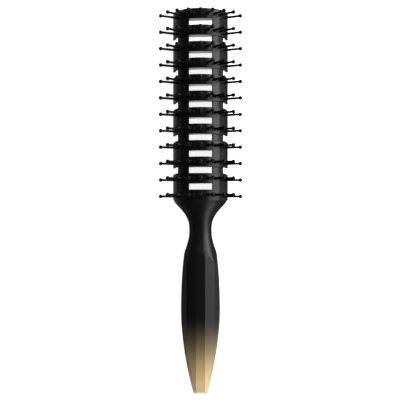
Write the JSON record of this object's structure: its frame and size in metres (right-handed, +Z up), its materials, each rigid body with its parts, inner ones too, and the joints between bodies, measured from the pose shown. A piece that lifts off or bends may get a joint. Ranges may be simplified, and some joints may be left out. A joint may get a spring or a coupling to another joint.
{
  "type": "tunnel vent brush",
  "caption": "Hair brush with a half-tube vented head in raised bands, rows of radial ball-tipped pins, a round neck and a faceted tapering handle.",
  "frame": {"origin": "under the middle of the brush, on the surface that it lies on, at the centre of its bounding box in X and Y", "axes": "+Y along the brush towards the tip of its head, +X across it, +Z up from the surface, the way the middle pins point"},
  "size_m": [0.048, 0.2216, 0.0275],
  "materials": {
    "body": "satin black, fading to pale gold at the end of the handle",
    "pins": "smooth black nylon"
  },
  "bodies": {
    "root": {"frame": "body", "pin_row_01": "pins", "pin_row_02": "pins", "pin_row_03": "pins", "pin_row_04": "pins", "pin_row_05": "pins", "pin_row_06": "pins", "pin_row_07": "pins", "pin_row_08": "pins", "pin_row_09": "pins", "pin_row_10": "pins", "pin_row_11": "pins", "pin_row_12": "pins"}
  },
  "joints": []
}
